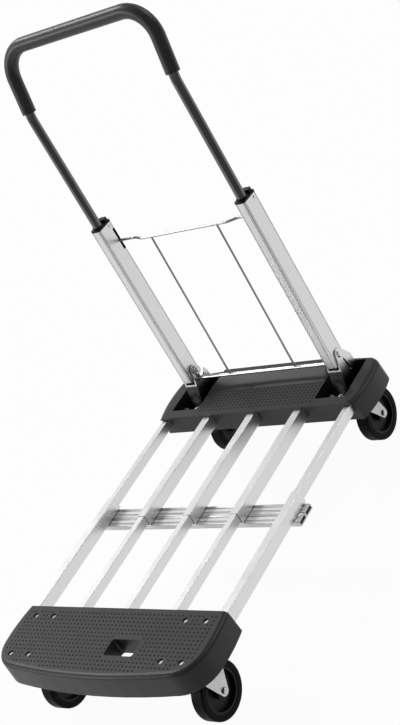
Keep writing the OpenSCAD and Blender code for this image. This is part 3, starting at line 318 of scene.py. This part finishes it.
# The deck tubes carry painted shade in their grooves and beside the bars and housings they
# touch.
deck_aluminium = drawn_metal("drawn_deck_aluminium", 0.74, 0.32, stretch=(1, 0.02, 1),
                             groove_shade=0.85, relief=0.04, alone=False)
sleeve_aluminium = drawn_metal("drawn_sleeve_aluminium", 0.72, 0.32, stretch=(1, 1, 0.02),
                               turn=(-LEAN, 0, 0), groove_shade=0.95, relief=0.04)
bar_aluminium = drawn_metal("drawn_bar_aluminium", 0.78, 0.42, stretch=(0.02, 1, 1),
                            metallic=0.4, groove_shade=0.55, relief=0.12)
rim_aluminium = drawn_metal("bar_end_aluminium", 0.74, 0.4, metallic=0.4, relief=0.12)
fork_zinc = drawn_metal("fork_zinc", 0.6, 0.34, line=0.005, spread=0.35, relief=0.04)
stud_zinc = drawn_metal("stud_zinc", 0.85, 0.22, line=0.004, spread=0.1, metallic=0.6)
screw_zinc = drawn_metal("screw_zinc", 0.95, 0.3, line=0.004, metallic=0.3)
zinc_plate = drawn_metal("zinc_plate", 0.72, 0.28, line=0.006, spread=0.15)
bracket_zinc = bracket_finish()
head_zinc = head_finish()
bright_chrome = drawn_metal("bright_chrome", 0.5, 0.2)
wire_plate = drawn_metal("plated_wire", 0.34, 0.22)
dark_chrome = drawn_metal("smoked_chrome", 0.15, 0.16, stretch=(1, 1, 0.03), spread=0.1)

by_slot = {
    "black_plastic": deck_plastic,
    "black_nylon": nylon,
    "tyre_rubber": tyre_rubber,
    "hub_plastic": hub_plastic,
    "grip_foam": grip_foam,
    "chrome_wire": bright_chrome,
    "chromed_tube": dark_chrome,
    "tube_aluminium": deck_aluminium,
    "sleeve_aluminium": sleeve_aluminium,
    "bar_aluminium": bar_aluminium,
    "zinc_plate": zinc_plate,
}
by_node = {
    "grid_wires": wire_plate,
    "rear_caster_bolts": stud_zinc,
    "rear_caster_nuts": stud_zinc,
    "front_caster_screws": screw_zinc,
    "front_left_fork": fork_zinc,
    "front_right_fork": fork_zinc,
    "rear_left_fork": fork_zinc,
    "rear_right_fork": fork_zinc,
    "left_hinge_bracket": bracket_zinc,
    "right_hinge_bracket": bracket_zinc,
}
for part in frame["record"]["subparts"]:
    node = part["node"]
    materials = nodes[node].data.materials
    materials.clear()
    materials.append(by_node.get(node, by_slot[part["material_slot"]]))

# Pieces

# Distance at which two vertices are one
SAME = 1e-6


def piece(name, bm, body, material):
    """A finished mesh as a piece that rides on a body."""
    mesh = bpy.data.meshes.new(name)
    bm.to_mesh(mesh)
    bm.free()
    mesh.shade_flat()
    mesh.materials.append(material)
    obj = bpy.data.objects.new(name, mesh)
    scene.collection.objects.link(obj)
    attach(obj, body)
    return obj


def closed(bm):
    """Joins what meets and turns the normals outward."""
    bmesh.ops.remove_doubles(bm, verts=bm.verts, dist=SAME)
    bmesh.ops.recalc_face_normals(bm, faces=bm.faces)


DECK_TOP = 0.1635
# Spacing of the pips across and along the deck
PIP_PITCH = 0.0090
PIP_ROW = 0.0083
PIP_R = 0.0022
PIP_TOP_SHARE = 0.7
PIP_H = 0.0005
PIP_SINK = 0.0001
PIP_SIDES = 12
# Radius of flat deck that each pip needs
PIP_CLEAR = 0.0042
PIP_PROBES = 8
FLAT_WITHIN = 0.00005
PROBE_HEIGHT = 0.05


def grip_pips(name, node, body, reach, margin):
    """Low pips in rows on the flat top, reach columns to each side, clear of openings."""
    housing = nodes[node]
    low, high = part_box(node)

    def flat(x, y):
        start = Vector((x, y, DECK_TOP + PROBE_HEIGHT))
        hit, place, *_ = housing.ray_cast(start, Vector((0, 0, -1)))
        return hit and abs(place.z - DECK_TOP) < FLAT_WITHIN

    angles = [k * 2 * math.pi / PIP_PROBES for k in range(PIP_PROBES)]
    probes = [(math.cos(a) * PIP_CLEAR, math.sin(a) * PIP_CLEAR) for a in angles]
    bm = bmesh.new()
    for row in range(int((high[1] - low[1]) / PIP_ROW) + 1):
        y = low[1] + margin + row * PIP_ROW
        for column in range(-reach, reach + 1):
            x = column * PIP_PITCH
            if not all(flat(x + dx, y + dy) for dx, dy in probes):
                continue
            middle = (x, y, DECK_TOP + (PIP_H - PIP_SINK) / 2)
            bmesh.ops.create_cone(bm, cap_ends=True, segments=PIP_SIDES, radius1=PIP_R,
                                  radius2=PIP_R * PIP_TOP_SHARE, depth=PIP_H + PIP_SINK,
                                  matrix=Matrix.Translation(middle))
    piece(name, bm, body, shaded_pip_plastic)


grip_pips("front_grip_pips", "front_housing", "front_frame", reach=26, margin=0.003)
grip_pips("rear_grip_pips", "rear_housing", "rear_frame", reach=15, margin=0.014)

# Stacked parts of a foot bolt: radius, lower and upper height, number of sides
FOOT_WASHER = (0.0062, 0, 0.0014, 32)
FOOT_HEAD = (0.0050, 0.0014, 0.0064, 6)
FOOT_THREAD = (0.0026, 0.0064, 0.0080, 24)
FOOT_EDGE = 0.0005
# Distance from a part's top within which an edge belongs to its rim
TOP_WITHIN = 1e-5


def foot_bolts():
    """Hex bolt on a washer in front of each bracket's upright, on the base plate."""
    x, y, z = FOOT_BOLT
    bm = bmesh.new()
    for side in (-1, 1):
        for radius, low, high, sides in (FOOT_WASHER, FOOT_HEAD, FOOT_THREAD):
            old = set(bm.edges)
            middle = (side * x, y, z + (low + high) / 2)
            bmesh.ops.create_cone(bm, cap_ends=True, segments=sides, radius1=radius,
                                  radius2=radius, depth=high - low,
                                  matrix=Matrix.Translation(middle))
            rims = [e for e in bm.edges if e not in old
                    and abs(e.verts[0].co.z - e.verts[1].co.z) < SAME
                    and e.verts[0].co.z > z + high - TOP_WITHIN]
            bmesh.ops.bevel(bm, geom=rims, offset=FOOT_EDGE, offset_type="OFFSET",
                            affect="EDGES", segments=2, profile=0.5, material=-1)
    piece("bracket_foot_bolts", bm, "rear_frame", stud_zinc)


foot_bolts()


def soft_plate(bm, centre, width, height, corner, depth, hollow=0.0):
    """Rounded plate square to x, depth thick outward from centre; hollow leaves a rim."""
    made = bmesh.ops.create_grid(bm, x_segments=1, y_segments=1, size=0.5)["verts"]
    bmesh.ops.scale(bm, vec=(height, width, 1), verts=made)
    bmesh.ops.rotate(bm, matrix=Matrix.Rotation(math.pi / 2, 3, "Y"), verts=made)
    bmesh.ops.translate(bm, vec=centre, verts=made)
    old = set(bm.faces) - set(made[0].link_faces)
    bmesh.ops.bevel(bm, geom=made, offset=corner, offset_type="OFFSET", affect="VERTICES",
                    segments=5, profile=0.5, material=-1)
    face = [f for f in bm.faces if f not in old]
    if hollow:
        ring = bmesh.ops.inset_region(bm, faces=face, thickness=hollow, use_boundary=True,
                                      use_even_offset=True)["faces"]
        bmesh.ops.delete(bm, geom=face, context="FACES")
        face = ring
    grown = bmesh.ops.extrude_face_region(bm, geom=face)["geom"]
    bmesh.ops.translate(bm, vec=(depth, 0, 0),
                        verts=[g for g in grown if isinstance(g, bmesh.types.BMVert)])


RIM_WIDTH = 0.0022
RIM_CORNER = 0.002
PLUG_CORNER = 0.001
PLUG_INSET = 0.0012


def bar_ends(part, body):
    """The cross bar's ends: a bright rim round a dark plug that sits a little way in."""
    low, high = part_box(part + "_cross_bar_caps")
    bar_low, bar_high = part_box(part + "_cross_bar")
    middle = ((low[1] + high[1]) / 2, (low[2] + high[2]) / 2)
    wide, tall = high[1] - low[1], high[2] - low[2]
    rims, plugs = bmesh.new(), bmesh.new()
    for side, start in ((1, bar_high[0]), (-1, bar_low[0])):
        thick = side * (high[0] - bar_high[0])
        soft_plate(rims, (start, *middle), wide, tall, RIM_CORNER, thick, hollow=RIM_WIDTH)
        soft_plate(plugs, (start, *middle), wide - 2 * RIM_WIDTH, tall - 2 * RIM_WIDTH,
                   PLUG_CORNER, thick - side * PLUG_INSET)
    closed(rims)
    closed(plugs)
    piece(part + "_bar_end_rims", rims, body, rim_aluminium)
    plug = piece(part + "_bar_end_plugs", plugs, body, nylon)
    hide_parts(part + "_cross_bar_caps")


bar_ends("rear", "rear_frame")
bar_ends("front", "front_frame")

HEAD_R = 0.0056
HEAD_T = 0.0040
SHANK_R = 0.0039
# Distance of the heads' faces beyond the ends of the CAD axle
HEAD_REACH = 0.0015
TURN_STEPS = 40


def axle_bolt(node, body):
    """Axle along x with a low domed head on the fork's outer faces."""
    low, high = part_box(node)
    y, z = (low[1] + high[1]) / 2, (low[2] + high[2]) / 2
    start, end = low[0] - HEAD_REACH, high[0] + HEAD_REACH
    head = [(0, 0.0), (0, HEAD_R * 0.6), (0.0004, HEAD_R * 0.85), (0.0012, HEAD_R),
            (HEAD_T, HEAD_R), (HEAD_T, SHANK_R)]
    outline = [(start + x, r) for x, r in head] + [(end - x, r) for x, r in reversed(head)]
    bm = bmesh.new()
    points = [bm.verts.new((x, y, z + r)) for x, r in outline]
    edges = [bm.edges.new(pair) for pair in zip(points, points[1:])]
    bmesh.ops.spin(bm, geom=points + edges, cent=(start, y, z), axis=(1, 0, 0),
                   dvec=(0, 0, 0), angle=2 * math.pi, steps=TURN_STEPS, use_merge=True)
    closed(bm)
    bolt = piece(node + "_bolt", bm, body, head_zinc)
    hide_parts(node)


axle_bolt("front_left_axle", "front_frame")
axle_bolt("front_right_axle", "front_frame")
axle_bolt("rear_left_axle", "rear_left_swivel")
axle_bolt("rear_right_axle", "rear_right_swivel")


def grooved(node, body, material, cutters, name):
    """Copy of a CAD node with the cutters taken out, in the node's place."""
    source = bmesh.new()
    source.from_mesh(nodes[node].data)
    bmesh.ops.remove_doubles(source, verts=source.verts, dist=SAME)
    made = piece(name, source, body, material)
    tool_mesh = bpy.data.meshes.new(name + "_cutter")
    cutters.to_mesh(tool_mesh)
    cutters.free()
    tool = bpy.data.objects.new(name + "_cutter", tool_mesh)
    scene.collection.objects.link(tool)
    cut = made.modifiers.new("grooves", "BOOLEAN")
    cut.operation = "DIFFERENCE"
    cut.solver = "EXACT"
    cut.object = tool
    depsgraph = bpy.context.evaluated_depsgraph_get()
    done = bpy.data.meshes.new_from_object(made.evaluated_get(depsgraph))
    made.modifiers.clear()
    made.data = done
    bpy.data.objects.remove(tool)
    bpy.data.meshes.remove(tool_mesh)
    done.materials.clear()
    done.materials.append(material)
    done.shade_smooth()
    done.set_sharp_from_angle(angle=math.radians(30))
    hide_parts(node)


GROOVE_W = 0.0008
GROOVE_D = 0.0006
# Places of the grooves across the bar's top
GROOVE_SHARES = (0.33, 0.67)
# Length by which the cutters run past the bar
CUTTER_EXTRA = 0.01


def ribbed_bar(part, body):
    """Cross bar with two long grooves along its top."""
    low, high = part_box(part + "_cross_bar")
    bm = bmesh.new()
    for share in GROOVE_SHARES:
        y = low[1] + share * (high[1] - low[1])
        length = high[0] - low[0] + CUTTER_EXTRA
        size = Matrix.Diagonal((length, GROOVE_W, 2 * GROOVE_D, 1))
        place = Matrix.Translation((0, y, high[2]))
        bmesh.ops.create_cube(bm, size=1, matrix=place @ size)
    grooved(part + "_cross_bar", body, bar_aluminium, bm,
            part + "_ribbed_bar")


ribbed_bar("rear", "rear_frame")
ribbed_bar("front", "front_frame")

# Floor, backdrop and light

FLOOR_HALF = 14
# Share of the floor's own light where the camera, gloss or a clear piece looks at it
FLOOR_GLOW = 0.95
# Direction in which that light fades for gloss, where it starts and ends to fade, and its rest
FADE_DIRECTION = (0.75, -0.66, 0)
FADE_RANGE = (0.45, 1.0)
FADED_GLOW = 0.2
# Direction of the bright wall, where its light starts and is full, and the two strengths
WALL_DIRECTION = (-0.72, 0.62, 0.3)
WALL_RANGE = (-0.3, 0.75)
WALL_STRENGTHS = (0.12, 0.8)
# Height of look at which the ceiling starts and is full, and its share of the wall's light
CEILING_RANGE = (0.5, 0.75)
CEILING_SHARE = 0.4
# Share of plain white that gloss sees in the backdrop
GLOSS_WHITE = 0.25


def studio_floor():
    """Pale floor: white to the camera with a faint trace of the object's shadow."""
    mat, tree, shader = finish("studio_floor", grey(0.9), roughness=0.9, specular=0.1)
    ray = tree.nodes.new("ShaderNodeLightPath").outputs
    seen = maths(tree, "MAXIMUM", ray["Is Camera Ray"], ray["Is Glossy Ray"])
    seen = maths(tree, "MAXIMUM", seen, ray["Is Transmission Ray"])
    glow = add(tree, "ShaderNodeEmission", Color=(1, 1, 1, 1))
    out = reach_towards(tree, "Object", FADE_DIRECTION)
    lit = ramp(tree, out, *FADE_RANGE, 1, FADED_GLOW)
    tree.links.new(maths(tree, "MAXIMUM", lit, ray["Is Camera Ray"]), glow.inputs["Strength"])
    mix = tree.nodes.new("ShaderNodeMixShader")
    tree.links.new(maths(tree, "MULTIPLY", seen, FLOOR_GLOW), mix.inputs["Fac"])
    tree.links.new(shader.outputs["BSDF"], mix.inputs[1])
    tree.links.new(glow.outputs["Emission"], mix.inputs[2])
    tree.links.new(mix.outputs["Shader"], tree.nodes["Material Output"].inputs["Surface"])
    return mat


def studio_world():
    """Backdrop: white to the camera, and a bright wall behind the truck's left for the rest."""
    world = bpy.data.worlds.new("studio")
    world.use_nodes = True
    tree = world.node_tree
    background = tree.nodes["Background"]
    background.inputs["Color"].default_value = (1, 1, 1, 1)
    away = reach_towards(tree, "Generated", WALL_DIRECTION)
    wall = ramp(tree, away, *WALL_RANGE, *WALL_STRENGTHS)
    ceiling = ramp(tree, split(tree, "Generated")["Z"], *CEILING_RANGE, 1, CEILING_SHARE)
    ray = tree.nodes.new("ShaderNodeLightPath").outputs
    seen = maths(tree, "MAXIMUM", ray["Is Camera Ray"], ray["Is Transmission Ray"])
    gloss = maths(tree, "MULTIPLY", ray["Is Glossy Ray"], GLOSS_WHITE)
    strength = tree.nodes.new("ShaderNodeMix")
    strength.inputs["B"].default_value = 1.0
    tree.links.new(maths(tree, "MAXIMUM", seen, gloss), strength.inputs["Factor"])
    tree.links.new(maths(tree, "MULTIPLY", wall, ceiling), strength.inputs["A"])
    tree.links.new(strength.outputs["Result"], background.inputs["Strength"])
    return world


floor_mesh = bpy.data.meshes.new("floor")
floor = bpy.data.objects.new("floor", floor_mesh)
scene.collection.objects.link(floor)
bm = bmesh.new()
bmesh.ops.create_grid(bm, x_segments=1, y_segments=1, size=FLOOR_HALF)
bm.to_mesh(floor_mesh)
bm.free()
floor_mesh.materials.append(studio_floor())
scene.world = studio_world()


def sun(name, toward, spread, strength):
    """A large soft light far away, named by where it stands, spread in degrees."""
    data = bpy.data.lights.new(name, "SUN")
    data.angle = math.radians(spread)
    data.energy = strength
    obj = bpy.data.objects.new(name, data)
    scene.collection.objects.link(obj)
    obj.rotation_euler = Vector(toward).to_track_quat("Z", "Y").to_euler()


sun("key_back_left", toward=(-0.67, 0.15, 0.73), spread=18, strength=1.3)
sun("fill_front_left", toward=(-0.68, -0.6, 0.3), spread=22, strength=0.85)
sun("rim_back_right", toward=(0.453, 0.593, 0.666), spread=22, strength=0.5)

# Camera at the photograph's place, with the axes and the lens that were fitted to it

CAMERA_PLACE = (1.8709, -1.466477, 1.591)
CAMERA_RIGHT = (0.74143, 0.45722, -0.49115)
CAMERA_UP = (0.08393, 0.66299, 0.74391)
CAMERA_BACK = (0.66576, -0.59278, 0.45319)

camera_data = bpy.data.cameras.new("camera")
camera_data.sensor_width = 36
camera_data.lens = 77.886
camera_data.shift_x = 0.0025
camera_data.shift_y = 0.0028
camera = bpy.data.objects.new("camera", camera_data)
scene.collection.objects.link(camera)
turn = Matrix((CAMERA_RIGHT, CAMERA_UP, CAMERA_BACK)).transposed()
camera.matrix_world = Matrix.Translation(CAMERA_PLACE) @ turn.to_4x4()
scene.camera = camera

scene.view_settings.view_transform = "Standard"
